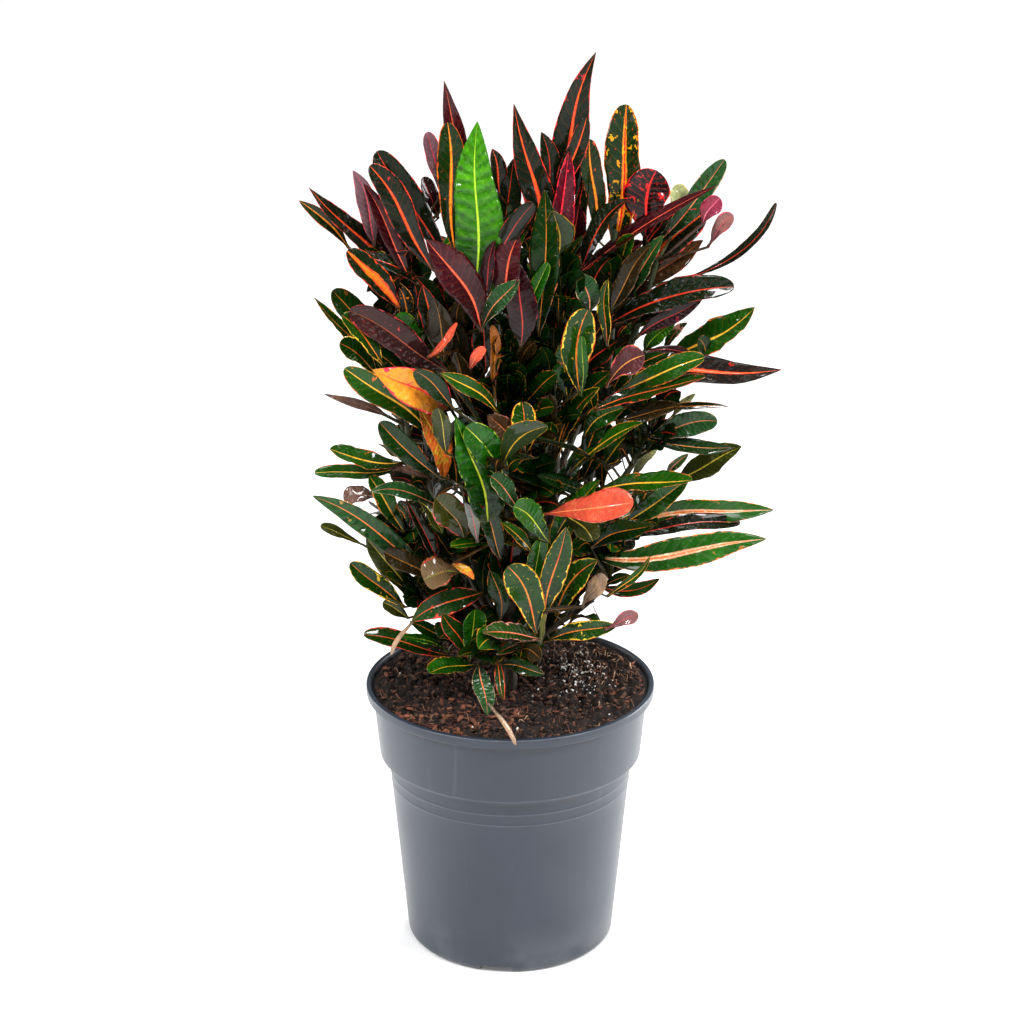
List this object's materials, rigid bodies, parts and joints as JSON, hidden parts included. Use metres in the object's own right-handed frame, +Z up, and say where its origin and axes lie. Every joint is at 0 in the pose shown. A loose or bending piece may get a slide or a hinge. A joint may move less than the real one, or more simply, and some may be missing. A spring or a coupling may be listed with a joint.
{
  "type": "potted croton",
  "caption": "Leafy croton shrub with narrow, gold- and red-marked leaves, rooted in soil in a tapered, lipped plastic nursery pot.",
  "frame": {"origin": "middle of the pot's flat underside, on the pot's own axis", "axes": "+Z up along the pot's axis, +X to the right of the side with the fullest foliage, -Y towards whoever looks at that side"},
  "size_m": [0.3812, 0.3294, 0.7609],
  "materials": {
    "pot_plastic": "fine satin, blue-grey",
    "potting_soil": "dark, crumbly peat and fibre",
    "foliage": "waxy dark green, maroon and red leaf with yellow, orange and red ribs and margins"
  },
  "bodies": {
    "root": {"pot": "pot_plastic", "soil": "potting_soil", "croton_front": "foliage", "croton_back_right": "foliage", "croton_back_left": "foliage"}
  },
  "joints": []
}
